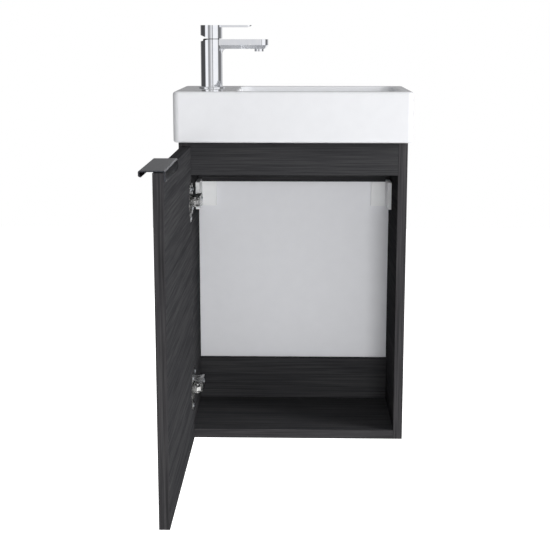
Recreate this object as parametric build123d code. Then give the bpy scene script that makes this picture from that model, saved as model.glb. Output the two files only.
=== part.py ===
from build123d import *
import math
import os

# Wall-hung vanity unit, millimetres. The shapes are drawn with X to the viewer's right, -Y to the
# front, Y = 0 on the wall, Z = 0 at the underside of the cabinet, and X = 0 on the centreline.
# The finished pieces are then lowered so that the origin is the centre of the four wall screws.

# Cabinet carcass
board = 16.0
carcass_width = 386.0
carcass_height = 522.0
carcass_depth = 200.0
front_rail_height = 56.0
upper_rail_height = 90.0
lower_rail_height = 77.0
back_thickness = 3.0
back_rebate = 6.0
back_play = 0.5
dowel_radius = 4.0
dowel_length = 28.0
dowel_play = 0.05
dowel_front_setback = 40.0
dowel_rear_setback = 60.0
dowel_shares = (0.25, 0.75)
edge_round = 0.6

# Door
door_thickness = 16.0
door_gap = 4.0
door_side_reveal = 2.0
door_top_reveal = 7.0
door_open_angle = 90.0

# Folded metal edge pull on the free edge of the door
pull_length = 160.0
pull_sheet = 2.0
pull_over_door = 1.5
pull_reach = 19.4
pull_lip = 7.5
pull_return = 3.0
pull_return_drop = 0.9
pull_leg = 15.5
pull_bend = 1.4
pull_screw_inset = 22.0
pull_screw_drop = 8.5
pull_screw_radius = 1.75
pull_screw_head_radius = 3.1
pull_screw_length = 12.0

# Concealed hinges, two alike
lower_hinge_distance = 93.0
upper_hinge_distance = 94.0
cup_radius = 17.5
cup_depth = 13.0
cup_wall = 0.8
cup_round = 1.6
cup_rim = 1.0
cup_edge_distance = 5.0
cup_flange_width = 15.0
cup_flange_thickness = 1.2
cup_flange_round = 4.0
cup_screw_spacing = 48.0
cup_screw_edge = 7.0
cup_screw_radius = 1.75
cup_screw_head_radius = 3.4
cup_screw_head = 1.4
cup_screw_length = 11.0
pivot_edge_distance = 9.05
pivot_depth = 9.9
far_pin_edge_distance = 11.15
far_pin_depth = 5.2
pivot_pin_radius = 0.9
far_pin_radius = 1.0
pin_play = 0.08
pin_end_margin = 0.15
eye_radius = 2.0
neck_half_width = 1.5
neck_top_depth = 11.6
neck_start = 0.5
nose_eye_radius = 3.0
nose_half_width = 2.0
outer_link_thickness = 6.8
inner_link_gap = 7.8
inner_link_plate = 1.4
inner_link_tip = 1.5
inner_link_barrel = 2.3
inner_link_half_width = 2.9
inner_link_reach = 17.0
inner_link_slope = 20.9
inner_link_neck = 1.9
inner_knee_inset = 9.0
inner_knee_advance = 14.8
slot_half_width = 1.75
slot_inner_travel = 2.0
slot_outer_travel = 3.5
arm_pin_radius = 1.5
arm_height = 16.0
arm_sheet = 1.5
arm_stand_off = 19.0
arm_rear = 52.0
arm_web_front = 2.0
arm_end_round = 4.0
arm_cheek_setback = 6.0
arm_mouth_width = 10.4
arm_mouth_depth = 8.0
arm_slot_length = 6.0
arm_flange_depth = 9.0
nose_radius = 3.2
nose_pin_inset = 15.8
nose_pin_advance = 0.5
nose_bend_advance = 9.6
nose_shoulder_run = 4.7
plate_setback = 37.0
plate_wing_width = 14.0
plate_wing_thickness = 2.5
plate_wing_round = 5.0
plate_boss_front = 22.0
plate_boss_rear = 14.0
plate_boss_chamfer = 3.0
plate_boss_height = 12.0
plate_screw_spacing = 32.0
plate_screw_edge = 10.5
plate_screw_radius = 2.5
plate_screw_head_radius = 4.0
plate_screw_head = 2.0
plate_screw_length = 12.0
arm_screw_radius = 2.2
arm_screw_head_radius = 3.6
arm_screw_head = 1.6
arm_screw_length = 9.0
arm_bore_spare = 1.0

# Cabinet hangers in the upper rear corners
hanger_top_rise = 5.0
hanger_height = 49.0
hanger_length = 70.0
hanger_depth = 7.0
hanger_flange_width = 33.0
hanger_flange_drop = 2.0
hanger_clear = 0.5
cover_wall = 1.2
bracket_sheet = 1.5
bracket_margin = 2.2
hanger_screw_radius = 2.0
hanger_screw_head_radius = 3.8
hanger_screw_head = 2.0
hanger_screw_length = 13.0
hanger_screw_setback = 24.0
hanger_screw_pitch = 18.0
hanger_screw_inset = 12.0
wall_plate_sheet = 2.0
wall_plate_width = 22.0
wall_plate_height = 35.0
wall_plate_drop = 6.0
wall_plate_round = 2.0
wall_plate_side_distance = 17.0
wall_screw_spacing = 23.0
wall_screw_radius = 2.5
hook_width = 14.0
hook_above_plate = 18.0
hook_rise = 5.5
hook_step = 5.2
hook_lip = 1.4
hook_play = 1.0
hook_rest_play = 0.02
window_drop = 8.0
cutout_play = 2.0
cutout_side_play = 1.0
cutout_rise = 20.0

# Washbasin
basin_side_overhang = 7.0
basin_depth = 220.0
basin_height = 85.0
basin_corner = 10.0
basin_top_round = 5.0
basin_bottom_round = 4.0
basin_wall = 10.0
basin_hollow_corner = 4.0
deck_thickness = 12.0
tap_deck = 105.0
rim_side = 20.0
rim_front = 17.0
bowl_depth = 62.0
bowl_corner = 22.0
bowl_draft = 6.0
bowl_floor_round = 20.0
bowl_wall = 9.0
bowl_rim_round = 3.0
waste_hole_radius = 23.0

# Push-open waste
waste_flange_radius = 31.5
waste_flange_thickness = 2.5
waste_flange_round = 1.2
waste_tail_radius = 20.95
waste_wall = 2.4
waste_tail_length = 70.0
waste_plug_radius = 28.0
waste_plug_thickness = 3.5
waste_plug_round = 2.0
waste_stem_radius = 4.0
waste_stem_length = 40.0
waste_spider_thickness = 4.0
waste_spider_bar = 5.0
waste_spider_root = 0.2
waste_hub_wall = 3.0
waste_stem_play = 0.05
waste_play = 0.3
waste_gasket_radius = 32.0
waste_gasket_thickness = 3.0
waste_nut_flats = 56.0
waste_nut_height = 9.0

# Single-lever mixer
tap_edge_distance = 55.0
tap_setback = 79.0
tap_hole_radius = 17.5
tap_body_radius = 19.0
tap_body_height = 84.6
tap_bore_radius = 15.5
tap_bore_bottom = 44.0
tap_ring_radius = 23.0
tap_ring_height = 2.5
tap_ring_round = 1.2
notch_apex = 3.0
notch_body_drop = 3.5
spout_reach = 100.0
spout_width = 26.0
spout_side_height = 10.0
spout_under_height = 6.5
spout_under_angle = 38.0
gusset_round = 8.0
gusset_arc_share = 1.05
gusset_root = 4.0
gusset_sink = 0.4
aerator_reach = 84.0
aerator_radius = 8.0
aerator_drop = 4.5
aerator_socket = 8.0
aerator_wall = 1.2
aerator_play = 0.05
aerator_bore_depth = 5.0
insert_thickness = 2.0
insert_setback = 1.2
insert_hole = 1.4
insert_pitch = 2.4
cartridge_radius = 12.5
cartridge_drop = 4.1
cartridge_foot_height = 6.0
cartridge_foot_play = 0.5
clamp_nut_height = 5.0
collar_radius = 14.8
collar_height = 5.0
collar_bore = 7.5
collar_play = 0.3
collar_round = 2.2
ear_width = 7.0
ear_round = 3.4
ear_thickness = 3.0
ear_inner = 9.0
ear_above_axis = 3.5
pivot_pin_play = 0.05
lift_pin_radius = 1.5
stem_radius = 4.0
stem_drop = 0.4
cap_gap = 1.2
cap_height = 23.2
cap_bore = 16.2
cap_roof = 5.0
cap_notch_rise = 6.2
lever_reach = 71.0
lever_width = 18.0
lever_thickness = 3.6
lever_tip_taper = 9.0
lever_tip_edge = 1.2
lift_axis_rise = 4.4
lever_screw_radius = 2.5
lever_screw_rise = 8.0
lever_screw_play = 0.6
inlet_radius = 4.5
inlet_depth = 14.0
inlet_spread = 7.5
inlet_offset = 6.0
stud_radius = 4.0
stud_offset = 9.0
stud_depth = 12.0
stud_length = 52.0
clamp_washer_radius = 23.0
clamp_rubber_thickness = 2.5
clamp_steel_thickness = 2.0
clamp_notch_width = 20.0
clamp_notch_shift = 2.0
stud_nut_flats = 13.0
stud_nut_height = 8.0
stud_play = 0.2

# Places worked out from the sizes above
half_width = carcass_width / 2
side_inner = half_width - board
front_plane = -carcass_depth
hanger_top = carcass_height - upper_rail_height + hanger_top_rise
hanger_bottom = hanger_top - hanger_height
wall_plate_bottom = hanger_bottom + wall_plate_drop
hook_level = wall_plate_bottom + hook_above_plate
wall_plate_x = side_inner - wall_plate_side_distance
hang_height = wall_plate_bottom + wall_plate_height / 2
basin_width = carcass_width + 2 * basin_side_overhang
deck_level = carcass_height + basin_height
tap_x = -basin_width / 2 + tap_edge_distance
tap_y = -tap_setback
door_width = carcass_width - 2 * door_side_reveal
door_height = carcass_height - door_top_reveal
hinge_heights = (lower_hinge_distance, door_height - upper_hinge_distance)
cup_flange_height = cup_screw_spacing + 2 * cup_screw_edge
plate_height = plate_screw_spacing + 2 * plate_screw_edge
door_left = -half_width + door_side_reveal
door_inner = front_plane - door_gap
door_outer = door_inner - door_thickness
swing_x = door_left + pivot_edge_distance
swing_y = door_inner - pivot_depth
bowl_left = -basin_width / 2 + tap_deck
bowl_right = basin_width / 2 - rim_side
bowl_x = (bowl_left + bowl_right) / 2
bowl_y = -basin_depth / 2
bowl_floor = deck_level - bowl_depth
spout_low = tap_body_height - spout_side_height - spout_under_height
cartridge_top = tap_body_height - cartridge_drop
cap_bottom = tap_body_height + cap_gap
cap_top = cap_bottom + cap_height
lift_axis_height = tap_body_height + lift_axis_rise
lever_screw_height = lift_axis_height + lever_screw_rise


def block(x, y, z):
    """A box from three (low, high) pairs."""
    size = [high - low for low, high in (x, y, z)]
    centre = [(high + low) / 2 for low, high in (x, y, z)]
    return Pos(*centre) * Box(*size)


def rod(centre, axis, radius, length):
    """A cylinder centred on a point, along X, Y or Z."""
    turn = {"X": Rot(0, 90, 0), "Y": Rot(90, 0, 0), "Z": Rot(0, 0, 0)}[axis]
    return Pos(*centre) * turn * Cylinder(radius, length)


def group(shapes):
    """Like pieces kept together as separate solids."""
    return Compound(list(shapes))


def tube(centre, axis, outer, inner, length):
    """A hollow cylinder."""
    return rod(centre, axis, outer, length) - rod(centre, axis, inner, length * 2)


def mirrored(shape):
    """The same piece on the other side of the centreline."""
    return mirror(shape, about=Plane.YZ)


def turned(shape, angle):
    """A piece turned about the door's vertical hinge axis, positive as the door closes."""
    return Pos(swing_x, swing_y, 0) * Rot(0, 0, angle) * Pos(-swing_x, -swing_y, 0) * shape


def opened(shape):
    """A piece drawn with the door shut, carried to where the open door holds it."""
    return turned(shape, -door_open_angle)


def stadium(start, end, radius):
    """A flat bar with round ends between two points of the XY plane."""
    run = Vector(*end) - Vector(*start)
    middle = (Vector(*end) + Vector(*start)) / 2
    angle = math.degrees(math.atan2(run.Y, run.X))
    bar = Rectangle(run.length, 2 * radius)
    return Pos(middle.X, middle.Y) * Rot(0, 0, angle) * bar + Pos(*start) * Circle(radius) \
        + Pos(*end) * Circle(radius)


def countersunk(radius, head_radius, length):
    """A screw along -Z with its flat head flush at Z = 0."""
    head = head_radius - radius
    return Pos(0, 0, -head / 2) * Cone(radius, head_radius, head) + Pos(0, 0, -length / 2) * Cylinder(
        radius, length)


def pan_head(radius, head_radius, head, length):
    """A screw along -Z whose domed head stands on Z = 0."""
    cap = Pos(0, 0, head / 2) * Cylinder(head_radius, head)
    cap = fillet(cap.edges().group_by(Axis.Z)[-1], head * 0.6)
    return cap + Pos(0, 0, -length / 2) * Cylinder(radius, length)


# Carcass: two sides, a floor, a front rail, two rear rails, and a thin back in a rebate
def dowel_places():
    """(side, y, z) of every dowel, two in each end of each board between the sides."""
    middle = board / 2
    rows = [(front_plane + dowel_front_setback, middle), (-dowel_rear_setback, middle)]
    for share in dowel_shares:
        rows.append((front_plane + middle, carcass_height - front_rail_height * share))
        rows.append((-middle, carcass_height - upper_rail_height * share))
        rows.append((-middle, board + lower_rail_height * share))
    return [(side, y, z) for side in (-1, 1) for y, z in rows]


def dowels(radius, length):
    places = [rod((side * side_inner, y, z), "X", radius, length) for side, y, z in dowel_places()]
    return group(places)


def drilled(board_shape):
    """A board with its dowel holes."""
    for side, y, z in dowel_places():
        hole = rod((side * side_inner, y, z), "X", dowel_radius + dowel_play, dowel_length + 2 * dowel_play)
        board_shape = board_shape - hole
    return board_shape


def back_field(play):
    """The space the back panel fills, smaller all round by the play."""
    reach = side_inner + back_rebate - play
    low = board + lower_rail_height - back_rebate + play
    high = carcass_height - upper_rail_height + back_rebate - play
    return block((-reach, reach), (-back_thickness, 0), (low, high))


def hinge_plate_screw_holes(panel):
    for height in hinge_heights:
        for end in (-1, 1):
            centre = (-side_inner, front_plane + plate_setback, height + end * plate_screw_spacing / 2)
            panel = panel - rod(centre, "X", plate_screw_radius, 2 * plate_screw_length)
    return panel


def hanger_screw_holes(panel, side):
    for setback, height in hanger_screw_places():
        centre = (side * side_inner, -setback, height)
        panel = panel - rod(centre, "X", hanger_screw_radius, 2 * hanger_screw_length)
    return panel


def side_panel(side):
    near, far = sorted((side * side_inner, side * half_width))
    panel = block((near, far), (front_plane, 0), (0, carcass_height))
    outer_edges = panel.edges().filter_by(Axis.Z).group_by(Axis.Y)[0]
    panel = fillet(outer_edges, edge_round)
    panel = drilled(panel) - back_field(0)
    if side < 0:
        panel = hinge_plate_screw_holes(panel)
    return hanger_screw_holes(panel, side)


def bottom_panel():
    return drilled(block((-side_inner, side_inner), (front_plane, 0), (0, board)))


def front_rail():
    span = (front_plane, front_plane + board)
    return drilled(block((-side_inner, side_inner), span, (carcass_height - front_rail_height, carcass_height)))


def rear_rail_upper():
    low = carcass_height - upper_rail_height
    return drilled(block((-side_inner, side_inner), (-board, 0), (low, carcass_height))) - back_field(0)


def rear_rail_lower():
    high = board + lower_rail_height
    return drilled(block((-side_inner, side_inner), (-board, 0), (board, high))) - back_field(0)


def back_panel():
    """Thin back, cut out behind each hanger so that the hook reaches its wall plate."""
    panel = back_field(back_play)
    low, high = hanger_bottom + cutout_play, hang_height + cutout_rise
    inner = wall_plate_x - wall_plate_width / 2 - cutout_play
    for side in (-1, 1):
        near, far = sorted((side * inner, side * (side_inner - cutout_side_play)))
        panel = panel - block((near, far), (-board, board), (low, high))
    return panel


# Hangers: a folded steel bracket on each side panel hooks on a plate screwed to the wall
def hanger_screw_places():
    """(setback, height) of three screws in a zigzag along the hanger."""
    low, high = hanger_bottom + hanger_screw_inset, hanger_top - hanger_screw_inset
    middle, last = hanger_screw_setback + hanger_screw_pitch, hanger_screw_setback + 2 * hanger_screw_pitch
    return [(hanger_screw_setback, low), (middle, high), (last, low)]


def hanger_outline(inset, depth_inset, rear):
    """Both legs of a right-hand hanger as solids, drawn in from the cover by an inset."""
    rail_edge = carcass_height - upper_rail_height - hanger_clear
    front = -hanger_length + inset
    deep = side_inner - hanger_depth + depth_inset
    leg = block((deep, side_inner), (front, -board - hanger_clear), (hanger_bottom + inset, hanger_top - inset))
    heel = block((deep, side_inner), (-board - hanger_clear, rear), (hanger_bottom + inset, rail_edge - inset))
    flange = block(
        (side_inner - hanger_flange_width + inset, side_inner),
        (rear - hanger_depth + depth_inset, rear),
        (hanger_bottom - hanger_flange_drop + inset, rail_edge - inset),
    )
    return leg + heel + flange


def hanger_cover():
    """White shell over the right-hand bracket, open towards the panel and the wall."""
    rear = -back_thickness - hanger_clear
    return hanger_outline(0, 0, rear) - hanger_outline(cover_wall, cover_wall, rear)


def hanger_bracket():
    """Right-hand steel bracket with the window that sits on the wall plate's hook."""
    rear = -back_thickness - hanger_clear
    inset = bracket_margin
    shell = hanger_outline(inset, hanger_depth - bracket_sheet, rear)
    half = hook_width / 2 + hook_play
    rest = hook_level + wall_plate_sheet + hook_rest_play
    window = block((wall_plate_x - half, wall_plate_x + half), (-board, 0), (hook_level - window_drop, rest))
    shell = shell - window
    for setback, height in hanger_screw_places():
        shell = shell - rod((side_inner, -setback, height), "X", hanger_screw_radius, 3 * bracket_sheet)
    return shell


def wall_plate():
    """Right-hand steel plate on the wall, with the upturned hook that carries the cabinet."""
    spread = (wall_plate_x - wall_plate_width / 2, wall_plate_x + wall_plate_width / 2)
    top = wall_plate_bottom + wall_plate_height
    plate = block(spread, (-wall_plate_sheet, 0), (wall_plate_bottom, top))
    plate = fillet(plate.edges().filter_by(Axis.Y), wall_plate_round)
    for end in (-1, 1):
        centre = (wall_plate_x, 0, hang_height + end * wall_screw_spacing / 2)
        plate = plate - rod(centre, "Y", wall_screw_radius, 3 * wall_plate_sheet)
    tongue = (wall_plate_x - hook_width / 2, wall_plate_x + hook_width / 2)
    lip_front = -wall_plate_sheet - hook_step
    shelf = block(tongue, (lip_front, -wall_plate_sheet), (hook_level, hook_level + wall_plate_sheet))
    lip = block(tongue, (lip_front, lip_front + hook_lip), (hook_level, hook_level + hook_rise))
    return plate + shelf + lip


def hanger_screws():
    screw = pan_head(hanger_screw_radius, hanger_screw_head_radius, hanger_screw_head, hanger_screw_length)
    face = side_inner - bracket_sheet
    right = [Pos(face, -setback, height) * Rot(0, -90, 0) * screw for setback, height in hanger_screw_places()]
    return group(right + [mirrored(one) for one in right])


# Door and its edge pull, drawn shut and then opened
def cup_centre(height):
    return (door_left + cup_edge_distance + cup_radius, door_inner, height)


def door_panel():
    panel = block((door_left, door_left + door_width), (door_outer, door_inner), (0, door_height))
    panel = fillet(panel.edges().filter_by(Axis.Z), edge_round)
    for height in hinge_heights:
        x, y, z = cup_centre(height)
        panel = panel - rod((x, y, z), "Y", cup_radius, 2 * cup_depth)
        for end in (-1, 1):
            hole = rod((x, y, z + end * cup_screw_spacing / 2), "Y", cup_screw_radius, 2 * cup_screw_length)
            panel = panel - hole
    for x, z in pull_screw_places():
        panel = panel - rod((x, door_inner, z), "Y", pull_screw_radius, 2 * pull_screw_length)
    return opened(panel)


def pull_screw_places():
    right = door_left + door_width - pull_screw_inset
    left = door_left + door_width - pull_length + pull_screw_inset
    level = door_height + pull_over_door - pull_screw_drop
    return [(left, level), (right, level)]


def door_handle():
    """Sheet folded over the door's top edge: inner leg, flat top, and a turned-down front lip."""
    half = pull_sheet / 2
    rear = -door_inner - half
    level = door_height + pull_over_door + half
    nose = -door_outer + pull_reach - half
    path = FilletPolyline(
        (rear, level + half - pull_leg),
        (rear, level),
        (nose, level),
        (nose, level + half - pull_lip),
        (nose - pull_return, level + half - pull_lip - pull_return_drop),
        radius=pull_bend,
    )
    profile = trace(path, pull_sheet)
    right = door_left + door_width
    bent = Plane(origin=(right, 0, 0), x_dir=(0, -1, 0), z_dir=(-1, 0, 0)) * profile
    sheet = extrude(bent, amount=pull_length, dir=(-1, 0, 0))
    depth = pull_screw_head_radius - pull_screw_radius
    for x, z in pull_screw_places():
        face = Pos(x, door_inner + pull_sheet, z) * Rot(-90, 0, 0)
        sheet = sheet - rod((x, door_inner, z), "Y", pull_screw_radius, 4 * pull_sheet)
        sheet = sheet - face * Pos(0, 0, -depth / 2) * Cone(pull_screw_radius, pull_screw_head_radius, depth)
    return opened(sheet)


def handle_screws():
    screw = countersunk(pull_screw_radius, pull_screw_head_radius, pull_screw_length)
    placed = [Pos(x, door_inner + pull_sheet, z) * Rot(-90, 0, 0) * screw for x, z in pull_screw_places()]
    return group([opened(one) for one in placed])


# Concealed hinge: cup in the door, outer and inner link, arm, and cross plate on the side panel
def shut_point(edge_distance, depth):
    """A point of the shut door from its hinge edge and its inner face."""
    return (door_left + edge_distance, door_inner - depth)


def open_point(edge_distance, depth):
    """The same point once the door stands open."""
    x, y = shut_point(edge_distance, depth)
    spot = opened(Pos(x, y, 0) * Vertex(0, 0, 0)).center()
    return (spot.X, spot.Y)


def outer_nose_point():
    """Where the outer link is riveted to the arm."""
    return (-side_inner + nose_pin_inset, front_plane - nose_pin_advance)


def inner_nose_point():
    """Where the inner link turns on the arm."""
    slope = math.radians(inner_link_slope)
    return (swing_x + inner_link_reach * math.cos(slope), swing_y + inner_link_reach * math.sin(slope))


def chord(radius, offset):
    """Half the length of a circle's chord at a distance from its centre."""
    return math.sqrt(radius * radius - offset * offset)


def hinge_cup(height):
    x, y, z = cup_centre(height)
    cup = rod((x, y - cup_depth / 2, z), "Y", cup_radius, cup_depth)
    cup = fillet(cup.edges().group_by(Axis.Y)[0], cup_round)
    hollow = rod((x, y - (cup_depth - cup_wall) / 2, z), "Y", cup_radius - cup_wall, cup_depth - cup_wall)
    hollow = fillet(hollow.edges().group_by(Axis.Y)[0], cup_round - cup_wall)
    wing = RectangleRounded(cup_flange_width, cup_flange_height, cup_flange_round)
    rim = Plane(origin=(x, y, z), x_dir=(1, 0, 0), z_dir=(0, 1, 0)) * (wing + Circle(cup_radius + cup_rim))
    flange = extrude(rim, amount=cup_flange_thickness, dir=(0, 1, 0))
    cup = cup + flange - hollow - rod((x, y, z), "Y", cup_radius - cup_wall, 4 * cup_flange_thickness)
    for end in (-1, 1):
        spot = (x, y, z + end * cup_screw_spacing / 2)
        cup = cup - rod(spot, "Y", cup_screw_radius, 4 * cup_flange_thickness)
    return opened(cup)


def cup_screws():
    screw = pan_head(cup_screw_radius, cup_screw_head_radius, cup_screw_head, cup_screw_length)
    placed = []
    for height in hinge_heights:
        x, y, z = cup_centre(height)
        for end in (-1, 1):
            spot = Pos(x, y + cup_flange_thickness, z + end * cup_screw_spacing / 2)
            placed.append(opened(spot * Rot(-90, 0, 0) * screw))
    return group(placed)


def hinge_pivot_pins():
    """One long pin in each cup for the outer link, and two short ones for the inner link."""
    centre = cup_edge_distance + cup_radius
    wall = cup_radius - pin_end_margin
    near_end = chord(wall, centre - pivot_edge_distance + pivot_pin_radius)
    far_end = chord(wall, centre - far_pin_edge_distance + far_pin_radius)
    far_start = inner_link_gap / 2
    pins = []
    for height in hinge_heights:
        x, y = shut_point(pivot_edge_distance, pivot_depth)
        pins.append(opened(rod((x, y, height), "Z", pivot_pin_radius, 2 * near_end)))
        x, y = shut_point(far_pin_edge_distance, far_pin_depth)
        for side in (-1, 1):
            middle = height + side * (far_start + far_end) / 2
            pins.append(opened(rod((x, y, middle), "Z", far_pin_radius, far_end - far_start)))
    return group(pins)


def outer_link(height):
    """Goose-neck from the arm's nose over the cup's rim to the pin that the door turns on."""
    pivot = (swing_x, swing_y)
    shoulder_y = door_inner - neck_top_depth + neck_half_width
    nose = outer_nose_point()
    shoulder = (nose[0] - nose_shoulder_run, shoulder_y)
    bend = (nose[0], front_plane - nose_bend_advance)
    flat = Pos(*pivot) * Circle(eye_radius) + stadium((swing_x + neck_start, shoulder_y), shoulder, neck_half_width)
    flat = flat + stadium(shoulder, bend, neck_half_width) + stadium(bend, nose, nose_half_width)
    flat = flat + Pos(*nose) * Circle(nose_eye_radius)
    flat = flat - Pos(*pivot) * Circle(pivot_pin_radius + pin_play) - Pos(*nose) * Circle(arm_pin_radius)
    return Pos(0, 0, height - outer_link_thickness / 2) * extrude(flat, amount=outer_link_thickness)


def inner_link(height):
    """Two bent plates on a barrel at the arm: their forked ends ride on the cup's short pins."""
    nose = Vector(*inner_nose_point())
    eye = Vector(*open_point(far_pin_edge_distance, far_pin_depth))
    way = (eye - nose).normalized()
    knee = (-side_inner + inner_knee_inset, front_plane - inner_knee_advance)
    tip = eye + way * inner_link_tip
    mouth = eye + way * slot_outer_travel
    heel = eye - way * slot_inner_travel
    flat = Pos(nose.X, nose.Y) * Circle(inner_link_half_width) + stadium((nose.X, nose.Y), knee, inner_link_neck)
    flat = flat + stadium(knee, (heel.X, heel.Y), inner_link_neck)
    prong_end = Pos(tip.X, tip.Y) * Rot(0, 0, math.degrees(math.atan2(way.Y, way.X)))
    prongs = stadium((heel.X, heel.Y), (mouth.X, mouth.Y), inner_link_half_width)
    prongs = prongs - prong_end * Pos(inner_link_reach, 0) * Rectangle(2 * inner_link_reach, 2 * inner_link_reach)
    flat = flat + prongs - stadium((heel.X, heel.Y), (mouth.X, mouth.Y), slot_half_width)
    plate = extrude(flat, amount=inner_link_plate)
    half_gap = inner_link_gap / 2
    link = Pos(0, 0, height + half_gap) * plate + Pos(0, 0, height - half_gap - inner_link_plate) * plate
    link = link + rod((nose.X, nose.Y, height), "Z", inner_link_barrel, inner_link_gap + inner_link_plate)
    return link - rod((nose.X, nose.Y, height), "Z", arm_pin_radius + pin_play, 2 * arm_height)


def arm_pins():
    """Rivets that carry the links in the nose of each arm."""
    pins = []
    for height in hinge_heights:
        for x, y in (outer_nose_point(), inner_nose_point()):
            pins.append(rod((x, y, height), "Z", arm_pin_radius, arm_height))
    return group(pins)


def hinge_arm(height):
    """Channel-shaped arm over the plate's boss, open towards the side panel."""
    top = -side_inner + arm_stand_off
    rear = front_plane + arm_rear
    half = arm_height / 2
    web_front = front_plane - arm_web_front
    span_z = (height - half, height + half)
    web = block((top - arm_sheet, top), (web_front, rear), span_z)
    web = fillet(web.edges().filter_by(Axis.X).group_by(Axis.Y)[-1], arm_end_round)
    arm = web
    outer_nose = outer_nose_point()
    inner_nose = inner_nose_point()
    for side in (-1, 1):
        low = height + side * (half - arm_sheet / 2) - arm_sheet / 2
        cheek = block((top - arm_flange_depth, top), (web_front, rear - arm_cheek_setback), (low, low + arm_sheet))
        nose = stadium(outer_nose, inner_nose, nose_radius)
        arm = arm + cheek + Pos(0, 0, low) * extrude(nose, amount=arm_sheet)
    mouth_y = (web_front - arm_rear, web_front + arm_mouth_depth)
    mouth_z = (height - arm_mouth_width / 2, height + arm_mouth_width / 2)
    arm = arm - block((top - 2 * arm_sheet, top + arm_sheet), mouth_y, mouth_z)
    for x, y in (outer_nose, inner_nose):
        arm = arm - rod((x, y, height), "Z", arm_pin_radius, 2 * arm_height)
    screw_y = front_plane + plate_setback
    slot_y = (screw_y - arm_slot_length / 2, screw_y + arm_slot_length / 2)
    slot_z = (height - arm_screw_radius, height + arm_screw_radius)
    return arm - block((top - 2 * arm_sheet, top + arm_sheet), slot_y, slot_z)


def mounting_plate(height):
    """Cross plate: two screwed wings on the panel and a raised boss under the arm."""
    face = -side_inner
    y = front_plane + plate_setback
    wing = Plane(origin=(face, y, height), x_dir=(0, 1, 0), z_dir=(1, 0, 0)) * RectangleRounded(
        plate_wing_width, plate_height, plate_wing_round)
    plate = extrude(wing, amount=plate_wing_thickness, dir=(1, 0, 0))
    half = plate_boss_height / 2
    boss = block(
        (face, face + arm_stand_off - arm_sheet),
        (y - plate_boss_front, y + plate_boss_rear),
        (height - half, height + half),
    )
    boss = chamfer(boss.edges().filter_by(Axis.Z).group_by(Axis.X)[-1], plate_boss_chamfer)
    plate = plate + boss
    for end in (-1, 1):
        centre = (face, y, height + end * plate_screw_spacing / 2)
        plate = plate - rod(centre, "X", plate_screw_radius, 4 * plate_wing_thickness)
    bore_depth = arm_screw_length + arm_bore_spare
    bore = rod((face + arm_stand_off - arm_sheet, y, height), "X", arm_screw_radius, 2 * bore_depth)
    return plate - bore


def plate_screws():
    screw = pan_head(plate_screw_radius, plate_screw_head_radius, plate_screw_head, plate_screw_length)
    placed = []
    for height in hinge_heights:
        for end in (-1, 1):
            spot = Pos(
                -side_inner + plate_wing_thickness,
                front_plane + plate_setback,
                height + end * plate_screw_spacing / 2,
            )
            placed.append(spot * Rot(0, 90, 0) * screw)
    return group(placed)


def arm_screws():
    screw = pan_head(arm_screw_radius, arm_screw_head_radius, arm_screw_head, arm_screw_length)
    placed = []
    for height in hinge_heights:
        spot = Pos(-side_inner + arm_stand_off, front_plane + plate_setback, height)
        placed.append(spot * Rot(0, 90, 0) * screw)
    return group(placed)


# Washbasin, hollow underneath, with the tap deck on the left and the bowl beside it
def bowl_form(wall):
    """The bowl's space, or with a wall added the outside of its ceramic."""
    width = bowl_right - bowl_left + 2 * wall
    depth = basin_depth - 2 * rim_front + 2 * wall
    mouth = RectangleRounded(width, depth, bowl_corner + wall)
    form = extrude(mouth, amount=-(bowl_depth + wall), taper=bowl_draft)
    form = fillet(form.edges().group_by(Axis.Z)[0], bowl_floor_round)
    return Pos(bowl_x, bowl_y, deck_level) * form


def basin():
    outline = Pos(0, -basin_depth / 2, carcass_height) * RectangleRounded(basin_width, basin_depth, basin_corner)
    outer = extrude(outline, amount=basin_height)
    outer = fillet(outer.edges().group_by(Axis.Z)[-1], basin_top_round)
    outer = fillet(outer.edges().group_by(Axis.Z)[0], basin_bottom_round)
    hollow_outline = Pos(0, -basin_depth / 2, carcass_height) * RectangleRounded(
        basin_width - 2 * basin_wall, basin_depth - 2 * basin_wall, basin_hollow_corner)
    hollow = extrude(hollow_outline, amount=basin_height - deck_thickness)
    shell = outer - (hollow - bowl_form(bowl_wall)) - bowl_form(0)
    rim = shell.faces().filter_by(Plane.XY).group_by(Axis.Z)[-1].sort_by(Axis.X)[0].inner_wires()
    shell = fillet(rim[0].edges(), bowl_rim_round)
    shell = shell - rod((tap_x, tap_y, deck_level), "Z", tap_hole_radius, 4 * deck_thickness)
    return shell - rod((bowl_x, bowl_y, bowl_floor), "Z", waste_hole_radius, 4 * bowl_wall)


# Push-open waste
def waste_body():
    """Flange, threaded tail and the spider that guides the plug's stem."""
    seat = bowl_floor
    flange = rod((bowl_x, bowl_y, seat + waste_flange_thickness / 2), "Z", waste_flange_radius,
                 waste_flange_thickness)
    flange = fillet(flange.edges().group_by(Axis.Z)[-1], waste_flange_round)
    tail = rod((bowl_x, bowl_y, seat - waste_tail_length / 2), "Z", waste_tail_radius, waste_tail_length)
    bore = waste_tail_radius - waste_wall
    body = flange + tail - rod((bowl_x, bowl_y, seat), "Z", bore, 4 * waste_tail_length)
    spider_z = seat - waste_stem_length / 2
    bars = Box(2 * (bore + waste_spider_root), waste_spider_bar, waste_spider_thickness)
    bars = bars + Rot(0, 0, 90) * bars + Cylinder(waste_stem_radius + waste_hub_wall, waste_spider_thickness)
    bars = bars - Cylinder(waste_stem_radius + waste_stem_play, 3 * waste_spider_thickness)
    return body + Pos(bowl_x, bowl_y, spider_z) * bars


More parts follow.
